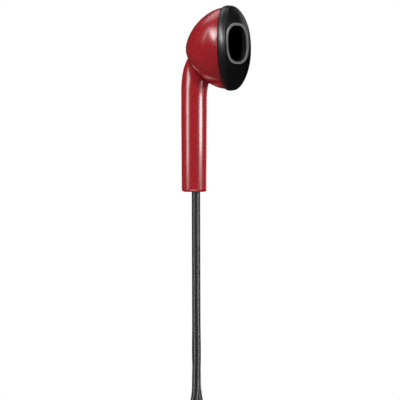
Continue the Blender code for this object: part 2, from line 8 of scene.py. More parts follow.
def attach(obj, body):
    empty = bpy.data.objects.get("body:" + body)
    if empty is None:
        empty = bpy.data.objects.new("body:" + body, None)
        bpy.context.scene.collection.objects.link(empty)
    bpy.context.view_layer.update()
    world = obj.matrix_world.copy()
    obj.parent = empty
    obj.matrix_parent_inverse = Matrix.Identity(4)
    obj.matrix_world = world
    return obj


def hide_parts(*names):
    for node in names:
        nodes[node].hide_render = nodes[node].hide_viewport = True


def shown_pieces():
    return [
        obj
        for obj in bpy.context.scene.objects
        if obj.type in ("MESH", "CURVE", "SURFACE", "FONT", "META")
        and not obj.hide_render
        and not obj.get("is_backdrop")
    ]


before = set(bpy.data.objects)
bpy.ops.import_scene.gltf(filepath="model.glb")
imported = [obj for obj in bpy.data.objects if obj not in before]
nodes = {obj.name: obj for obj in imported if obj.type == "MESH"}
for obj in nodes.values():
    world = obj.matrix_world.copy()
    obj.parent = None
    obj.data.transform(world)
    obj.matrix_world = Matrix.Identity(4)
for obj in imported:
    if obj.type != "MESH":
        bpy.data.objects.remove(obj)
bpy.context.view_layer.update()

scene = bpy.context.scene
mm = 0.001
ears = {"right": -1, "left": 1}  # the sign is the side's place on Y


# camera, level with the heads

cameraPlan = {"place": (-0.0049, -2.4, 0.0), "aim": (-0.0049, 0.0, -0.03035), "lens": 1080, "sensor": 36}


def addCamera(plan):
    data = bpy.data.cameras.new("viewCamera")
    data.lens = plan["lens"]
    data.sensor_width = plan["sensor"]
    data.clip_end = 100
    camera = bpy.data.objects.new("viewCamera", data)
    scene.collection.objects.link(camera)
    camera.location = plan["place"]
    sight = Vector(plan["aim"]) - camera.location
    camera.rotation_euler = sight.to_track_quat("-Z", "Y").to_euler()
    scene.camera = camera


addCamera(cameraPlan)
scene.view_settings.view_transform = "Standard"
print("camera placed")


# cords: two thin branches and the thicker main cord, wound into one flat hank

cordPlan = {
    "branchDiameter": 1.7 * mm,
    "mainDiameter": 2.0 * mm,
    "exitX": -5.7 * mm,  # where a branch leaves its stem
    "exitY": 8.27 * mm,
    "exitZ": -28.62 * mm,
    "branchLength": 0.43,
    "mainLength": 0.79,
}
hankPlan = {
    "middle": Vector((-5.6, 0, -104.65)) * mm,
    "halfRun": 18 * mm,  # straight part of a run, each way from the middle
    "branchOuter": 11.9 * mm,
    "branchInner": 7.0 * mm,
    "branchFolds": 5,
    "branchPlane": 4.1 * mm,
    "mainInner": 8.0 * mm,
    "mainOuter": 12.16 * mm,
    "mainPlane": 2.1 * mm,
    "splitterHalf": 8.0 * mm,
    "splitterGap": 0.1 * mm,
    "entrySpread": 0.95 * mm,  # each branch enters the splitter that far from its middle
    "branchHookRise": 9.6 * mm,
    "mainHookDrop": 1.6 * mm,
    "hookSteps": 6,
}


def ease(share):
    return share * share * (3 - 2 * share)


def fold(points, plan, x, start, goal, side, rising, steps=9):
    # a straight run's end and the half turn after it, from one side of the hank to the other
    end = plan["halfRun"] if rising else -plan["halfRun"]
    for k in range(steps + 1):
        turn = math.pi * k / steps
        radius = start + (goal - start) * k / steps
        lift = radius * math.sin(turn) * (1 if rising else -1)
        points.append(plan["middle"] + Vector((x, side * radius * math.cos(turn), end + lift)))


def straight(points, plan, xs, y, heights):
    # points along one run, easing from one plane of turns to the next
    for k, height in enumerate(heights):
        share = (k + 1) / (len(heights) + 1)
        points.append(plan["middle"] + Vector((xs[0] + (xs[1] - xs[0]) * ease(share), y, height)))


def branchRoute(side, cord, plan):
    # from the crimp inside the stem, down to the hank, round its folds and into the splitter
    top = Vector((cord["exitX"], side * cord["exitY"], 0))
    hang = [(0, 0, -21.8), (0, 0, -28.6), (0.01, 0, -35), (0.04, 0.12, -44), (0.07, 0.6, -54),
            (0.1, 1.7, -64)]
    points = [top + Vector((x, side * y, z)) * mm for x, y, z in hang]
    plane = side * plan["branchPlane"]
    points.append(Vector((plan["middle"].x + side * 0.5 * mm, side * 10.95 * mm, -71 * mm)))
    points.append(Vector((plan["middle"].x + plane - side * 1.1 * mm, side * 11.75 * mm, -77.5 * mm)))
    y = side
    drop = (plan["branchOuter"] - plan["branchInner"]) / plan["branchFolds"]
    radius = plan["branchOuter"]
    for k in range(plan["branchFolds"]):
        rising = k % 2 == 1
        fold(points, plan, plane, radius, radius - drop, y, rising)
        y = -y
        radius -= drop
        if k < plan["branchFolds"] - 1:
            straight(points, plan, (plane, plane), y * radius, (0,))
    straight(points, plan, (plane, plane), y * radius, (0, 6 * mm))
    hook = radius / 2
    entry = side * plan["entrySpread"]
    for k in range(plan["hookSteps"] + 1):
        share = k / plan["hookSteps"]
        turn = math.pi * share
        x = plane + (entry - plane) * ease(share)
        rise = plan["branchHookRise"] + hook * math.sin(turn)
        points.append(plan["middle"] + Vector((x, y * (hook + hook * math.cos(turn)), rise)))
    points.append(plan["middle"] + Vector((entry, 0, plan["splitterHalf"] + plan["splitterGap"])))
    return points


def mainRoute(plan):
    # from the splitter round the hank's middle in three layers, then out to the plug
    inner, outer, plane = plan["mainInner"], plan["mainOuter"], plan["mainPlane"]
    low = -plan["splitterHalf"]
    points = [plan["middle"] + Vector((0, 0, low - plan["splitterGap"]))]
    hook = inner / 2
    for k in range(plan["hookSteps"] + 1):
        share = k / plan["hookSteps"]
        turn = math.pi * share
        x = -plane * ease(share)
        drop = low - plan["mainHookDrop"] - hook * math.sin(turn)
        points.append(plan["middle"] + Vector((x, hook - hook * math.cos(turn), drop)))
    straight(points, plan, (-plane, -plane), inner, (0,))
    legs = ((-plane, inner, outer, 4), (0, outer, inner, 4), (plane, inner, outer, 3))
    for count, (x, start, goal, folds) in enumerate(legs):
        y = 1
        for k in range(folds):
            first = start + (goal - start) * k / folds
            last = start + (goal - start) * (k + 1) / folds
            fold(points, plan, x, first, last, y, k % 2 == 0)
            y = -y
            if k < folds - 1:
                straight(points, plan, (x, x), y * last, (0,))
        if count < 2:
            heights = [plan["halfRun"] * share for share in (-0.6, -0.2, 0.2, 0.6)]
            straight(points, plan, (x, legs[count + 1][0]), y * last, heights)
    away = [(2.1, -12.16, 4), (2.1, -12.9, -2), (2.0, -14.8, -9), (1.5, -15.5, -12.5), (0.7, -16.5, -16.5),
            (0.1, -16.95, -19.5), (0, -17, -21.9)]
    points += [plan["middle"] + Vector(step) * mm for step in away]
    return points


def cordTube(name, points, diameter):
    # sweeps a round section along a smooth curve through the points; returns the tube and its centreline
    data = bpy.data.curves.new(name, "CURVE")
    data.dimensions = "3D"
    data.resolution_u = 6
    data.bevel_resolution = 8
    data.use_fill_caps = True
    spline = data.splines.new("BEZIER")
    spline.bezier_points.add(len(points) - 1)
    for knot, point in zip(spline.bezier_points, points):
        knot.co = point
        knot.handle_left_type = knot.handle_right_type = "AUTO"
    guide = bpy.data.objects.new("guide", data)
    scene.collection.objects.link(guide)
    meshes = []
    for depth in (0, diameter / 2):
        data.bevel_depth = depth
        bpy.context.view_layer.update()
        graph = bpy.context.evaluated_depsgraph_get()
        meshes.append(bpy.data.meshes.new_from_object(guide.evaluated_get(graph)))
    bpy.data.objects.remove(guide)
    line, skin = meshes
    skin.materials.clear()
    made = bpy.data.objects.new(name, skin)
    scene.collection.objects.link(made)
    skin.shade_smooth()
    skin.set_sharp_from_angle(angle=math.radians(50))
    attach(made, "headset")
    return made, [tuple(vertex.co) for vertex in line.vertices]


def addCords(cord, plan):
    made = []
    for ear, side in ears.items():
        branch, line = cordTube(f"{ear}_branch", branchRoute(side, cord, plan), cord["branchDiameter"])
        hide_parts(f"{ear}_branch_cord", f"{ear}_branch_tail")
        made.append(branch)
    main, line = cordTube("main_cord", mainRoute(plan), cord["mainDiameter"])
    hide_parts("main_cord_start", "main_cord_end", "cord_hank")
    made.append(main)
    return made


cords = addCords(cordPlan, hankPlan)
print("cords routed")


# shader groups that several finishes share

def groupSocket(tree, name, kind, way, value=None):
    socket = tree.interface.new_socket(name=name, in_out=way, socket_type=kind)
    if value is not None:
        socket.default_value = value


def mouldedGrain():
    # fine surface grain, slow blotches and a thin scatter of dust
    tree = bpy.data.node_groups.new("mouldedGrain", "ShaderNodeTree")
    groupSocket(tree, "Grain Scale", "NodeSocketFloat", "INPUT", 4000)
    groupSocket(tree, "Blotch Scale", "NodeSocketFloat", "INPUT", 180)
    groupSocket(tree, "Dust Scale", "NodeSocketFloat", "INPUT", 1500)
    for name in ("Grain", "Blotch", "Dust"):
        groupSocket(tree, name, "NodeSocketFloat", "OUTPUT")
    new, link = tree.nodes.new, tree.links.new
    entry, leave = new("NodeGroupInput"), new("NodeGroupOutput")
    coords = new("ShaderNodeTexCoord")
    grain, blotch, dust = new("ShaderNodeTexNoise"), new("ShaderNodeTexNoise"), new("ShaderNodeTexVoronoi")
    grain.inputs["Detail"].default_value = 3
    blotch.inputs["Detail"].default_value = 2
    speck = new("ShaderNodeMapRange")
    speck.inputs["From Min"].default_value = 0.07
    speck.inputs["From Max"].default_value = 0.03
    for noise, scale in ((grain, "Grain Scale"), (blotch, "Blotch Scale"), (dust, "Dust Scale")):
        link(coords.outputs["Object"], noise.inputs["Vector"])
        link(entry.outputs[scale], noise.inputs["Scale"])
    link(dust.outputs["Distance"], speck.inputs["Value"])
    link(grain.outputs["Fac"], leave.inputs["Grain"])
    link(blotch.outputs["Fac"], leave.inputs["Blotch"])
    link(speck.outputs["Result"], leave.inputs["Dust"])
    return tree


grainGroup = mouldedGrain()


def finish(name, look):
    # a Principled finish whose colour, roughness and relief vary with the shared grain
    material = bpy.data.materials.new(name)
    material.use_nodes = True
    tree = material.node_tree
    new, link = tree.nodes.new, tree.links.new
    shader = tree.nodes["Principled BSDF"]
    group = new("ShaderNodeGroup")
    group.node_tree = grainGroup
    group.inputs["Grain Scale"].default_value = look.get("grainScale", 4000)
    group.inputs["Blotch Scale"].default_value = look.get("blotchScale", 180)
    group.inputs["Dust Scale"].default_value = look.get("dustScale", 1500)
    tint = new("ShaderNodeMix")
    tint.data_type = "RGBA"
    tint.inputs["A"].default_value = (*look["colour"], 1)
    tint.inputs["B"].default_value = (*look.get("second", look["colour"]), 1)
    link(group.outputs["Blotch"], tint.inputs["Factor"])
    rough = new("ShaderNodeMapRange")
    rough.inputs["To Min"].default_value = look["rough"] - look.get("roughSpread", 0.03)
    rough.inputs["To Max"].default_value = look["rough"] + look.get("roughSpread", 0.03)
    link(group.outputs["Grain"], rough.inputs["Value"])
    dusty = new("ShaderNodeMath")
    dusty.operation = "MULTIPLY_ADD"
    dusty.inputs[1].default_value = look.get("dust", 0.1)
    link(group.outputs["Dust"], dusty.inputs[0])
    link(rough.outputs["Result"], dusty.inputs[2])
    bump = new("ShaderNodeBump")
    bump.inputs["Strength"].default_value = look.get("relief", 0.1)
    bump.inputs["Distance"].default_value = look.get("reliefDepth", 0.02) * mm
    link(group.outputs["Grain"], bump.inputs["Height"])
    link(tint.outputs["Result"], shader.inputs["Base Color"])
    link(dusty.outputs["Value"], shader.inputs["Roughness"])
    link(bump.outputs["Normal"], shader.inputs["Normal"])
    shader.inputs["Metallic"].default_value = look.get("metallic", 0)
    shader.inputs["IOR"].default_value = look.get("ior", 1.5)
    shader.inputs["Coat Weight"].default_value = look.get("coat", 0)
    shader.inputs["Coat Roughness"].default_value = look.get("coatRough", 0.05)
    shader.inputs["Sheen Weight"].default_value = look.get("sheen", 0)
    shader.inputs["Anisotropic"].default_value = look.get("anisotropy", 0)
    return material


looks = {
    "redGloss": {"colour": (0.38, 0.014, 0.021), "second": (0.42, 0.017, 0.025), "rough": 0.27,
                 "roughSpread": 0.02, "coat": 0.45, "coatRough": 0.1, "relief": 0.03, "blotchScale": 120,
                 "dust": 0.05},
    "blackSatin": {"colour": (0.006, 0.006, 0.0065), "second": (0.009, 0.009, 0.0095), "rough": 0.36,
                   "relief": 0.12, "grainScale": 6000},
    # painted highlight: the rim's light grey stands in for light caught on the port's rounded lip
    "rimHighlightGrey": {"colour": (0.46, 0.46, 0.465), "second": (0.54, 0.54, 0.545), "rough": 0.36, "relief": 0.06},
    "cordJacket": {"colour": (0.010, 0.010, 0.010), "second": (0.014, 0.014, 0.014), "rough": 0.42,
                   "relief": 0.15, "grainScale": 5000, "sheen": 0.05},
    "framePlastic": {"colour": (0.05, 0.05, 0.055), "second": (0.07, 0.07, 0.075), "rough": 0.5,
                     "relief": 0.2},
    "platedSteel": {"colour": (0.50, 0.50, 0.51), "second": (0.60, 0.60, 0.61), "rough": 0.3, "metallic": 1,
                    "anisotropy": 0.3},
    "nickel": {"colour": (0.42, 0.41, 0.40), "second": (0.50, 0.49, 0.47), "rough": 0.22, "metallic": 1},
    "surroundFilm": {"colour": (0.55, 0.53, 0.45), "second": (0.64, 0.61, 0.52), "rough": 0.35},
    "domeFilm": {"colour": (0.58, 0.46, 0.25), "second": (0.66, 0.53, 0.30), "rough": 0.28},
    "felt": {"colour": (0.018, 0.018, 0.018), "second": (0.045, 0.045, 0.045), "rough": 0.95, "relief": 0.9,
             "reliefDepth": 0.08, "grainScale": 5000, "sheen": 0.3},
    "circuitBoard": {"colour": (0.015, 0.11, 0.04), "second": (0.025, 0.16, 0.06), "rough": 0.35,
                     "coat": 0.5},
    "copperWire": {"colour": (0.62, 0.26, 0.14), "second": (0.76, 0.36, 0.20), "rough": 0.3, "metallic": 1},
    "redLacquer": {"colour": (0.38, 0.02, 0.02), "second": (0.48, 0.035, 0.03), "rough": 0.3},
    "blackRubber": {"colour": (0.014, 0.014, 0.014), "second": (0.021, 0.021, 0.021), "rough": 0.6,
                    "relief": 0.25, "grainScale": 5000},
    "plugPlastic": {"colour": (0.012, 0.012, 0.013), "second": (0.018, 0.018, 0.019), "rough": 0.33,
                    "relief": 0.12},
    "goldPlate": {"colour": (0.78, 0.56, 0.23), "second": (0.86, 0.65, 0.31), "rough": 0.16, "metallic": 1},
}
finishes = {name: finish(name, look) for name, look in looks.items()}


def weave(name, look):
    # threads crossing at right angles, read from object coordinates turned to suit the piece; the hollows
    # between threads take a darker colour, a painted shade
    material = finish(name, look)
    tree = material.node_tree
    new, link = tree.nodes.new, tree.links.new
    shader = tree.nodes["Principled BSDF"]
    coords = new("ShaderNodeTexCoord")
    turn = new("ShaderNodeMapping")
    turn.inputs["Rotation"].default_value = look["turn"]
    link(coords.outputs["Object"], turn.inputs["Vector"])
    waves = []
    for direction in look["threads"]:
        wave = new("ShaderNodeTexWave")
        wave.bands_direction = direction
        wave.inputs["Scale"].default_value = look["threadScale"]
        link(turn.outputs["Vector"], wave.inputs["Vector"])
        waves.append(wave)
    cross = new("ShaderNodeMath")
    cross.operation = "MAXIMUM"
    link(waves[0].outputs["Fac"], cross.inputs[0])
    link(waves[1].outputs["Fac"], cross.inputs[1])
    relief = new("ShaderNodeBump")
    relief.inputs["Strength"].default_value = 0.9
    relief.inputs["Distance"].default_value = look["threadDepth"] * mm
    link(cross.outputs["Value"], relief.inputs["Height"])
    link(relief.outputs["Normal"], shader.inputs["Normal"])
    # painted shade: the hollows between the threads are darkened
    shade = new("ShaderNodeMix")
    shade.data_type = "RGBA"
    shade.inputs["A"].default_value = (*look["hollow"], 1)
    shade.inputs["B"].default_value = (*look["colour"], 1)
    link(cross.outputs["Value"], shade.inputs["Factor"])
    link(shade.outputs["Result"], shader.inputs["Base Color"])
    return material


finishes["grilleMesh"] = weave("grilleMesh", {
    "colour": (0.16, 0.16, 0.165), "hollow": (0.001, 0.001, 0.001), "rough": 0.45,
    "metallic": 0.3, "turn": (0, 0, 0), "threads": ("Y", "Z"), "threadScale": 700, "threadDepth": 0.05})
finishes["tieStrap"] = weave("tieStrap", {
    "colour": (0.03, 0.03, 0.032), "hollow": (0.006, 0.006, 0.006), "rough": 0.8,
    "sheen": 0.3, "turn": (0, 0, 0.78), "threads": ("Y", "Z"), "threadScale": 500, "threadDepth": 0.08})
for cordObject in cords:
    cordObject.data.materials.append(finishes["cordJacket"])
print("finishes made")


# mesh helpers

def place(name, mesh, material, matrix=None):
    made = bpy.data.objects.new(name, mesh)
    scene.collection.objects.link(made)
    if matrix:
        mesh.transform(matrix)
    mesh.materials.append(finishes[material])
    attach(made, "headset")
    return made


def softenAll(mesh, angle=35):
    mesh.shade_smooth()
    mesh.set_sharp_from_angle(angle=math.radians(angle))


def loft(name, rings, capped=False, angle=35):
    # skins a stack of rings of equal count; capped closes both ends, otherwise the stack closes on itself
    shape = bmesh.new()
    rows = [[shape.verts.new(point) for point in ring] for ring in rings]
    pairs = list(zip(rows, rows[1:])) + ([] if capped else [(rows[-1], rows[0])])
    count = len(rings[0])
    for low, high in pairs:
        for k in range(count):
            after = (k + 1) % count
            shape.faces.new((low[k], low[after], high[after], high[k]))
    if capped:
        shape.faces.new(rows[0][::-1])
        shape.faces.new(rows[-1])
    bmesh.ops.recalc_face_normals(shape, faces=shape.faces)
    mesh = bpy.data.meshes.new(name)
    shape.to_mesh(mesh)
    shape.free()
    softenAll(mesh, angle)
    return mesh


def turnedMesh(name, profile, sides=128, closed=True, angle=35):
    # profile is (radius, height) pairs round the Z axis
    shape = bmesh.new()
    rows = []
    for radius, height in profile:
        if radius < 1e-7:
            rows.append([shape.verts.new((0, 0, height))] * sides)
            continue
        turns = [2 * math.pi * k / sides for k in range(sides)]
        rows.append([shape.verts.new((radius * math.cos(t), radius * math.sin(t), height)) for t in turns])
    pairs = list(zip(rows, rows[1:])) + ([(rows[-1], rows[0])] if closed else [])
    for low, high in pairs:
        for k in range(sides):
            after = (k + 1) % sides
            corners = []
            for corner in (low[k], low[after], high[after], high[k]):
                if corner not in corners:
                    corners.append(corner)
            if len(corners) > 2:
                shape.faces.new(corners)
    bmesh.ops.recalc_face_normals(shape, faces=shape.faces)
    mesh = bpy.data.meshes.new(name)
    shape.to_mesh(mesh)
    shape.free()
    softenAll(mesh, angle)
    return mesh


def carve(target, *tools):
    # cuts each tool's mesh out of the target and keeps the result
    for tool in tools:
        cutter = bpy.data.objects.new("cutter", tool)
        scene.collection.objects.link(cutter)
        modifier = target.modifiers.new("carve", "BOOLEAN")
        modifier.operation = "DIFFERENCE"
        modifier.solver = "EXACT"
        modifier.object = cutter
        bpy.context.view_layer.update()
        graph = bpy.context.evaluated_depsgraph_get()
        carved = bpy.data.meshes.new_from_object(target.evaluated_get(graph))
        target.modifiers.clear()
        target.data = carved
        bpy.data.objects.remove(cutter)
    softenAll(target.data)


# heads: an egg-shaped rear shell and a domed front with an oval port

headPlan = {"turn": math.radians(9.7), "tilt": math.radians(2.1), "offset": 9.3 * mm}
shellPlan = {
    "radius": 8.1 * mm,
    "depth": 7.82 * mm,
    "power": 1.66,
    "wall": 0.8 * mm,
    "gap": 0.1 * mm,
    "lip": 0.04 * mm,  # rounding of its edge at the seam
    "steps": 40,
    "sides": 160,
}
bezelPlan = {
    "edge": 8.28 * mm,  # the front stands that far from the axis at the seam
    "edgeRound": 0.06 * mm,
    "widest": 8.53 * mm,
    "widestAt": 0.95 * mm,
    "crease": 8.47 * mm,
    "creaseAt": 1.46 * mm,
    "power": 2.09,
    "inner": 7.45 * mm,
    "floor": 1.2 * mm,
    "steps": 36,
    "boreSteps": 8,
}
portPlan = {
    "ahead": 3.45 * mm,
    "aside": 5.28 * mm,
    "up": 0.83 * mm,
    "turn": math.radians(36),
    "halfWidth": 2.65 * mm,
    "halfHeight": 3.62 * mm,
    "power": 2.5,
    "depth": 1.3 * mm,
    "rim": 0.45 * mm,
    "seat": 0.2 * mm,
    "proud": 0.2 * mm,
    "gap": 0.1 * mm,
    "points": 128,
}


def headMatrix(side, plan):
    cosTilt = math.cos(plan["tilt"])
    ahead = Vector((math.cos(plan["turn"]) * cosTilt, side * math.sin(plan["turn"]) * cosTilt,
                    math.sin(plan["tilt"])))
    aside = Vector((0, 0, 1)).cross(ahead).normalized()
    matrix = Matrix((aside, ahead.cross(aside), ahead)).transposed().to_4x4()
    matrix.translation = (0, side * plan["offset"], 0)
    return matrix


def eggProfile(radius, depth, plan):
    points = []
    for k in range(plan["steps"]):
        share = math.sin(math.pi / 2 * k / plan["steps"])
        width = (1 - share ** plan["power"]) ** (1 / plan["power"])
        points.append((radius * width, -depth * share))
    return points + [(0, -depth)]


def shellMesh(plan):
    outer = eggProfile(plan["radius"], plan["depth"], plan)
    inner = eggProfile(plan["radius"] - plan["wall"], plan["depth"] - plan["wall"], plan)
    lip = plan["lip"]
    profile = [(radius, min(height, -plan["gap"])) for radius, height in inner[::-1]]
    profile += [(plan["radius"] - lip, -plan["gap"]), (plan["radius"], -plan["gap"] - lip)]
    profile += [(radius, height) for radius, height in outer if height < -plan["gap"] - lip]
    return turnedMesh("shell", profile, plan["sides"], closed=False, angle=50)


def circle(radius, height, count):
    turns = [2 * math.pi * k / count for k in range(count)]
    return [Vector((radius * math.cos(t), radius * math.sin(t), height)) for t in turns]


def portOval(side, plan, grow, depth):
    # depth is a length, or a function of the point on the port's plane
    centre = Vector((side * plan["aside"], plan["up"], plan["ahead"]))
    outwards = Vector((side * math.sin(plan["turn"]), 0, math.cos(plan["turn"])))
    across = Vector((math.cos(plan["turn"]), 0, -side * math.sin(plan["turn"])))
    points = []
    for k in range(plan["points"]):
        angle = 2 * math.pi * k / plan["points"]
        c, s = math.cos(angle), math.sin(angle)
        x = math.copysign(abs(c) ** (2 / plan["power"]), c) * (plan["halfWidth"] + grow)
        y = math.copysign(abs(s) ** (2 / plan["power"]), s) * (plan["halfHeight"] + grow)
        point = centre + across * x + Vector((0, y, 0))
        points.append(point - outwards * (depth(point) if callable(depth) else depth))
    return points


def swell(base, end, steps, power):
    # rings that rise first and close in later
    rings = []
    for k in range(1, steps):
        angle = math.pi / 2 * k / steps
        rise = math.sin(angle) ** (2 / power)
        close = 1 - math.cos(angle) ** (2 / power)
        rings.append([Vector((a.x + (b.x - a.x) * close, a.y + (b.y - a.y) * close, a.z + (b.z - a.z) * rise))
                      for a, b in zip(base, end)])
    return rings


def bezelMesh(side, plan, port):
    count = port["points"]

    def portDepth(point):
        return min(port["depth"], (point.z - plan["floor"]) / math.cos(port["turn"]))

    edge = plan["edge"]
    rings = [circle(edge - plan["edgeRound"], 0, count), circle(edge, plan["edgeRound"], count)]
    for share in (0.2, 0.4, 0.6, 0.8, 1):
        swing = math.sin(share * math.pi / 2)
        rings.append(circle(edge + (plan["widest"] - edge) * swing, plan["widestAt"] * share, count))
    crease = circle(plan["crease"], plan["creaseAt"], count)
    rings.append([a.lerp(b, 0.6) for a, b in zip(rings[-1], crease)])
    lip = portOval(side, port, port["rim"] + port["gap"], 0)
    rings += [crease, *swell(crease, lip, plan["steps"], plan["power"]), lip]
    rings.append(portOval(side, port, port["rim"] + port["gap"], port["seat"]))
    rings.append(portOval(side, port, 0, port["seat"]))
    mouth = portOval(side, port, 0, portDepth)
    bore = circle(plan["inner"], plan["floor"], count)
    rings += [mouth, *reversed(swell(bore, mouth, plan["boreSteps"], plan["power"])), bore]
    rings.append(circle(plan["inner"], 0, count))
    return loft("bezel", rings, angle=24)


def rimMesh(side, port, steps=6):
    # an oval ring with two rounded corners in front
    corner = port["rim"] / 4
    rings = [portOval(side, port, port["rim"], port["seat"] - port["gap"])]
    for k in range(steps + 1):
        turn = math.pi / 2 * k / steps
        grow = port["rim"] - corner + corner * math.cos(turn)
        rings.append(portOval(side, port, grow, corner - port["proud"] - corner * math.sin(turn)))
    for k in range(steps + 1):
        turn = math.pi / 2 * k / steps
        grow = corner - corner * math.sin(turn)
        rings.append(portOval(side, port, grow, corner - port["proud"] - corner * math.cos(turn)))
    rings.append(portOval(side, port, 0, port["seat"] - port["gap"]))
    return loft("rim", rings, angle=60)


def addHeads():
    for ear, side in ears.items():
        matrix = headMatrix(side, headPlan)
        shell = place(f"{ear}_shell", shellMesh(shellPlan), "redGloss", matrix)
        front = bezelMesh(side, bezelPlan, portPlan)
        bezel = place(f"{ear}_bezel", front, "blackSatin", matrix)
        # the rim takes the light grey that paints the highlight on the port's lip
        rim = place(f"{ear}_rim", rimMesh(side, portPlan), "rimHighlightGrey", matrix)
        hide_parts(f"{ear}_rear_shell")
        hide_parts(f"{ear}_front_bezel")
        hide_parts(f"{ear}_port_rim")


addHeads()
print("heads shaped")


# stems: a straight tube whose neck leans into the egg

stemPlan = {
    "x": -6.02 * mm,
    "radius": 2.62 * mm,
    "taper": 0.1 * mm,
    "foot": -28.62 * mm,
    "straightTop": -9.9 * mm,
    # height, left and right of the axis, half depth, in millimetres
    "neck": ((-8.75, -2.62, 2.72, 2.64), (-7.65, -2.61, 2.86, 2.68), (-6.75, -2.56, 3.1, 2.66),
             (-5.85, -2.47, 3.4, 2.55), (-4.95, -2.34, 3.4, 2.3), (-4.15, -2.18, 3.3, 2.0),
             (-3.45, -1.97, 3.1, 1.65), (-2.75, -1.7, 2.8, 1.2), (-2.15, -1.4, 2.4, 0.7)),
    "bore": 1.8 * mm,
    "boreTop": -5.2 * mm,
    "floor": 1.0 * mm,
    "cordHole": 1.05 * mm,
    "neckGap": 0.1 * mm,
    "between": 5,  # levels between two of the neck's
    "footRound": 0.5 * mm,
    "footPull": 1.5,  # how far in the rounding goes, against its height
    "footSteps": 8,
    "straightStep": 4 * mm,
    "toolTop": 2 * mm,  # of the egg that the neck is cut with, in front of the seam
}


def levelRing(level, count=96):
    height, left, right, depth = level
    turns = [2 * math.pi * k / count for k in range(count)]
    middle, half = (left + right) / 2, (right - left) / 2
    return [Vector((middle + half * math.cos(t), depth * math.sin(t), height)) for t in turns]


def smoothLevels(levels, between):
    # Catmull-Rom between the given levels
    filled = []
    for k in range(len(levels) - 1):
        a, b = levels[max(k - 1, 0)], levels[k]
        c, d = levels[k + 1], levels[min(k + 2, len(levels) - 1)]
        for step in range(between):
            t = step / between
            filled.append(tuple(0.5 * (2 * q + (r - p) * t + (2 * p - 5 * q + 4 * r - s) * t * t
                                       + (3 * q - p - 3 * r + s) * t ** 3) for p, q, r, s in zip(a, b, c, d)))
    return filled + [levels[-1]]


def stemMesh(plan):
    foot, radius = plan["foot"], plan["radius"]
    levels = []
    bend = plan["footRound"]
    for k in range(plan["footSteps"] + 1):
        turn = math.pi / 2 * k / plan["footSteps"]
        half = radius - plan["taper"] - bend * (1 - math.sin(turn)) * plan["footPull"]
        levels.append((foot + bend * (1 - math.cos(turn)), -half, half, half))
    levels.append((plan["straightTop"] - plan["straightStep"], -radius, radius, radius))
    levels.append((plan["straightTop"], -radius, radius, radius))
    neck = [tuple(value * mm for value in level) for level in plan["neck"]]
    levels += smoothLevels([levels[-1], *neck], plan["between"])[1:]
    return loft("stem", [levelRing(level) for level in levels], capped=True)


def column(radius, low, high, x):
    mesh = turnedMesh("column", [(0, low), (radius, low), (radius, high), (0, high)], 64, closed=False)
    mesh.transform(Matrix.Translation((x, 0, 0)))
    return mesh


def addStems(plan):
    for ear, side in ears.items():
        matrix = headMatrix(side, headPlan)
        y = side * (headPlan["offset"] + math.tan(headPlan["turn"]) * plan["x"])
        axis = Matrix.Translation((plan["x"], y, 0))
        stem = place(f"{ear}_tube", stemMesh(plan), "redGloss", axis)
        wide = shellPlan["radius"] + plan["neckGap"]
        egg = eggProfile(wide, shellPlan["depth"] + plan["neckGap"], shellPlan)
        profile = [(0, plan["toolTop"]), (wide, plan["toolTop"]), *egg]
        eggTool = turnedMesh("eggTool", profile, shellPlan["sides"], closed=False)
        eggTool.transform(matrix)
        bore = column(plan["bore"], plan["foot"] + plan["floor"], plan["boreTop"], plan["x"])
        hole = column(plan["cordHole"], plan["foot"] - mm, plan["foot"] + 2 * plan["floor"],
                      cordPlan["exitX"])
        for tool in (bore, hole):
            tool.transform(Matrix.Translation((0, y, 0)))
        carve(stem, eggTool, bore, hole)
        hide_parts(f"{ear}_stem")


addStems(stemPlan)
print("stems joined to the heads")


# pieces that keep their frame shape take a finish of their own

kept = {
    "front_grille": "grilleMesh", "driver_frame": "framePlastic", "yoke": "platedSteel", "magnet": "nickel",
    "top_plate": "platedSteel", "surround": "surroundFilm", "damping_felt": "felt",
    "terminal_board": "circuitBoard", "dome": "domeFilm", "voice_coil": "copperWire",
    "cord_bush": "blackRubber", "cord_crimp": "platedSteel", "signal_lead": "copperWire",
    "ground_lead": "redLacquer",
}
keptShared = {
    "hank_tie": "tieStrap", "splitter_front": "plugPlastic", "splitter_back": "plugPlastic",
    "plug_boot": "blackRubber", "plug_housing": "plugPlastic", "plug_sleeve": "goldPlate",
    "plug_ring_insulator": "blackRubber", "plug_ring": "goldPlate", "plug_tip_insulator": "blackRubber",
    "plug_tip": "goldPlate",
}


def dress(node, material):
    mesh = nodes[node].data
    mesh.materials.clear()
    mesh.materials.append(finishes[material])
    mesh.shade_smooth()
    mesh.set_sharp_from_angle(angle=math.radians(32))


for ear in ears:
    for part, material in kept.items():
        dress(f"{ear}_{part}", material)
for node, material in keptShared.items():
    dress(node, material)
print("inner parts, splitter and plug dressed")


# studio: pale floor, soft panels, white behind

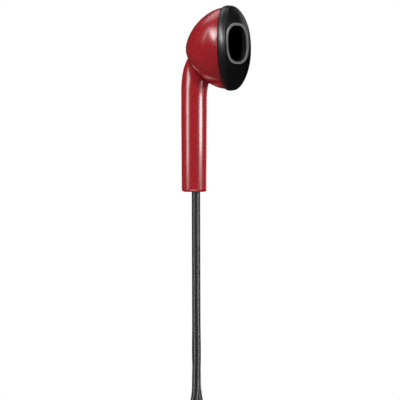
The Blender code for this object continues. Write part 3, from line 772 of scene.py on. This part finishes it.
# azimuth is to the right of the camera's side and elevation above the heads, in degrees, at one metre;
# level is the brightness of the middle, soft the share of the panel that fades out, lean the levels of
# its left and right sides, and lights the group of pieces that it shines on, or all of them
panels = {
    "keyPanel": {"azimuth": -54, "elevation": 31, "width": 1.6, "height": 1.0, "level": 24,
                 "soft": (1, 1), "lean": (0.7, 0.5), "lights": "heads"},
    "portPanel": {"azimuth": 62, "elevation": 14, "width": 0.9, "height": 0.6, "level": 2.2,
                  "soft": (0.8, 0.8), "lights": "heads"},
    "lowFill": {"azimuth": -10, "elevation": -42, "width": 1.2, "height": 0.7, "level": 10.5,
                "soft": (0.5, 0.5), "lights": "stems"},
    "leftStrip": {"azimuth": -62, "elevation": 20, "width": 0.7, "height": 1.1, "level": 11,
                  "soft": (1, 0.1), "lights": "stems"},
    "rightStrip": {"azimuth": 58, "elevation": 4.0, "width": 0.7, "height": 0.34, "level": 22.0,
                   "soft": (0.9, 0.05), "lights": "stems"},
    "rimPanel": {"azimuth": 150, "elevation": -5, "width": 0.6, "height": 0.3, "level": 3.0,
                 "soft": (0.4, 0.3), "lights": "stems"},
    "bandPanel": {"azimuth": -28, "elevation": 26, "width": 0.5, "height": 0.4, "level": 60,
                  "soft": (1, 1), "lights": "bezels"},
    "rearPanel": {"azimuth": 150, "elevation": 12, "width": 0.6, "height": 0.6, "level": 0.5,
                  "soft": (0.5, 0.5), "lights": "heads"},
    "topLight": {"azimuth": 0, "elevation": 80, "width": 1.2, "height": 1.2, "level": 0.4,
                 "soft": (0.5, 0.5)},
    "floorLight": {"azimuth": 0, "elevation": 88, "width": 3.0, "height": 3.0, "level": 4.0,
                   "soft": (1, 1), "lights": "floor"},
    "backFill": {"azimuth": -150, "elevation": 50, "width": 0.9, "height": 0.7, "level": 1.5,
                 "soft": (0.6, 0.6)},
}


floorPlan = {"radius": 0.9, "height": -0.18, "sides": 96}
floorLook = {"colour": (0.80, 0.80, 0.80), "second": (0.84, 0.84, 0.84), "rough": 0.7, "grainScale": 300,
             "blotchScale": 6}
ambientLevel = 0.025


def addFloor(plan):
    mesh = turnedMesh("floor", [(0, 0), (plan["radius"], 0)], plan["sides"], closed=False)
    mesh.materials.append(finish("paleFloor", floorLook))
    floor = bpy.data.objects.new("floor", mesh)
    scene.collection.objects.link(floor)
    floor.location = (0, 0, plan["height"])
    floor.visible_glossy = False
    floor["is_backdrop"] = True
    return floor


def addWorld(level):
    # white where the camera sees it, this level of light everywhere else
    world = bpy.data.worlds.new("studio")
    scene.world = world
    world.use_nodes = True
    tree = world.node_tree
    new, link = tree.nodes.new, tree.links.new
    seen, mix, path = new("ShaderNodeBackground"), new("ShaderNodeMixShader"), new("ShaderNodeLightPath")
    ambient = tree.nodes["Background"]
    seen.inputs["Color"].default_value = (1, 1, 1, 1)
    ambient.inputs["Color"].default_value = (1, 1, 1, 1)
    ambient.inputs["Strength"].default_value = level
    link(path.outputs["Is Camera Ray"], mix.inputs["Fac"])
    link(ambient.outputs["Background"], mix.inputs[1])
    link(seen.outputs["Background"], mix.inputs[2])
    link(mix.outputs["Shader"], tree.nodes["World Output"].inputs["Surface"])


def panelMaterial(name, plan):
    # an emitter that fades towards its edges
    material = bpy.data.materials.new(name)
    material.use_nodes = True
    tree = material.node_tree
    tree.nodes.remove(tree.nodes["Principled BSDF"])
    new, link = tree.nodes.new, tree.links.new
    coords, split, emit = new("ShaderNodeTexCoord"), new("ShaderNodeSeparateXYZ"), new("ShaderNodeEmission")
    link(coords.outputs["Generated"], split.inputs["Vector"])
    factors = []
    for axis, soft in zip("XY", plan["soft"]):
        offset, side, fade = new("ShaderNodeMath"), new("ShaderNodeMath"), new("ShaderNodeMapRange")
        offset.operation, side.operation = "SUBTRACT", "ABSOLUTE"
        offset.inputs[1].default_value = 0.5
        fade.interpolation_type = "SMOOTHSTEP"
        fade.inputs["From Min"].default_value = 0.5
        fade.inputs["From Max"].default_value = 0.5 - soft / 2
        link(split.outputs[axis], offset.inputs[0])
        link(offset.outputs["Value"], side.inputs[0])
        link(side.outputs["Value"], fade.inputs["Value"])
        factors.append(fade.outputs["Result"])
    lean = new("ShaderNodeMapRange")
    lean.inputs["To Min"].default_value, lean.inputs["To Max"].default_value = plan.get("lean", (1, 1))
    link(split.outputs["X"], lean.inputs["Value"])
    factors.append(lean.outputs["Result"])
    total = factors[0]
    for factor in factors[1:]:
        times = new("ShaderNodeMath")
        times.operation = "MULTIPLY"
        link(total, times.inputs[0])
        link(factor, times.inputs[1])
        total = times.outputs["Value"]
    strength = new("ShaderNodeMath")
    strength.operation = "MULTIPLY"
    strength.inputs[1].default_value = plan["level"]
    link(total, strength.inputs[0])
    link(strength.outputs["Value"], emit.inputs["Strength"])
    link(emit.outputs["Emission"], tree.nodes["Material Output"].inputs["Surface"])
    return material


def addPanel(name, plan, receivers):
    shape = bmesh.new()
    corners = ((-0.5, -0.5), (0.5, -0.5), (0.5, 0.5), (-0.5, 0.5))
    shape.faces.new([shape.verts.new((x * plan["width"], y * plan["height"], 0)) for x, y in corners])
    mesh = bpy.data.meshes.new(name)
    shape.to_mesh(mesh)
    shape.free()
    mesh.materials.append(panelMaterial(name, plan))
    panel = bpy.data.objects.new(name, mesh)
    scene.collection.objects.link(panel)
    azimuth, elevation = math.radians(plan["azimuth"]), math.radians(plan["elevation"])
    level = math.cos(elevation)
    away = Vector((math.sin(azimuth) * level, -math.cos(azimuth) * level, math.sin(elevation)))
    panel.location = away
    panel.rotation_euler = away.to_track_quat("Z", "Y").to_euler()
    panel.visible_camera = False
    if "lights" in plan:
        panel.light_linking.receiver_collection = receivers[plan["lights"]]
    panel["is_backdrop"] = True


def lightGroups(floor):
    # stems, cords and plug take the strips, other pieces the key, the bezels one more, the floor its own
    groups = {name: bpy.data.collections.new(name) for name in ("stems", "heads", "bezels", "floor")}
    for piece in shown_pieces():
        slim = piece.name.endswith(("_tube", "_branch", "main_cord")) or piece.name.startswith("plug_")
        groups["stems" if slim else "heads"].objects.link(piece)
        if piece.name.endswith("_bezel"):
            groups["bezels"].objects.link(piece)
    groups["floor"].objects.link(floor)
    return groups


studioFloor = addFloor(floorPlan)
addWorld(ambientLevel)
lightReceivers = lightGroups(studioFloor)
for name, plan in panels.items():
    addPanel(name, plan, lightReceivers)
print("floor and panels set")

bpy.context.view_layer.update()
